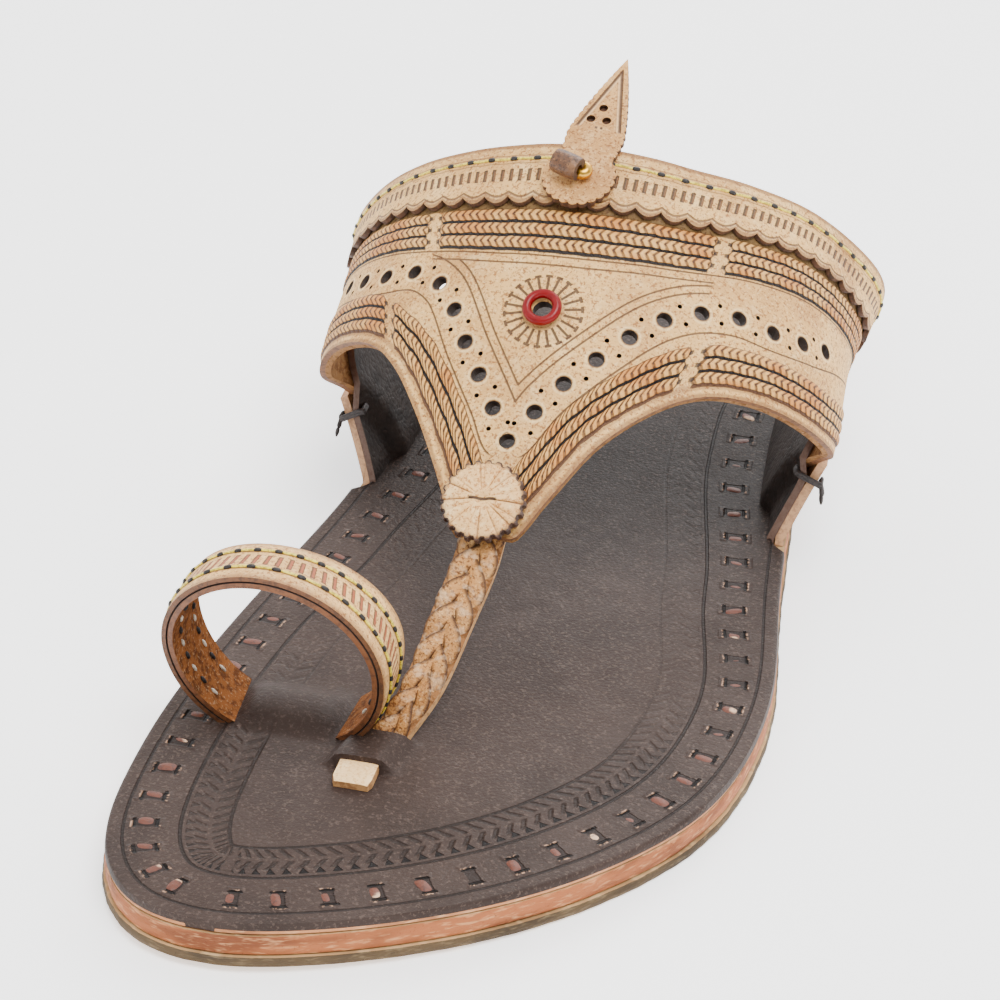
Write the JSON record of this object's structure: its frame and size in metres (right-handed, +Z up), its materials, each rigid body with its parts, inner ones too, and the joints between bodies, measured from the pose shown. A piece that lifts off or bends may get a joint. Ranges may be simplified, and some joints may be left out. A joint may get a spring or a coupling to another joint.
{
  "type": "kolhapuri sandal",
  "caption": "Flat leather sandal with a toe loop, a braided thong and a broad punched and braided instep strap, on a layered leather sole.",
  "frame": {"origin": "middle of the shoe's box on the floor plane it stands on", "axes": "+Y from the toe to the heel, +Z up, -X towards the big-toe side"},
  "size_m": [0.1076, 0.2814, 0.0889],
  "materials": {
    "tan_leather": "natural vegetable-tanned leather, fine grain, dry matt sheen",
    "dark_leather": "dark brown dyed leather, semi-matt, tooled lines",
    "orange_leather": "raw orange-brown cut leather edge, matt",
    "sole_leather": "pale beige sole leather, matt, fibrous edge",
    "grey_leather": "blue-grey dyed flesh side, matt",
    "red_enamel": "glossy red enamelled eyelet",
    "brass": "polished brass",
    "dark_lace": "dark waxed leather lace"
  },
  "bodies": {
    "root": {"outsole": "sole_leather", "midsole": "orange_leather", "heel_lift": "orange_leather", "heel_block": "sole_leather", "insole": "dark_leather", "ear_medial": "grey_leather", "ear_lateral": "grey_leather", "upper": "tan_leather", "collar_band": "tan_leather", "toe_loop": "tan_leather", "thong_tab": "tan_leather", "tip_rosette": "tan_leather", "crest": "tan_leather", "roll": "tan_leather", "eyelet_ring": "red_enamel", "brass_bead": "brass", "tie_medial": "dark_lace", "tie_lateral": "dark_lace"}
  },
  "joints": []
}
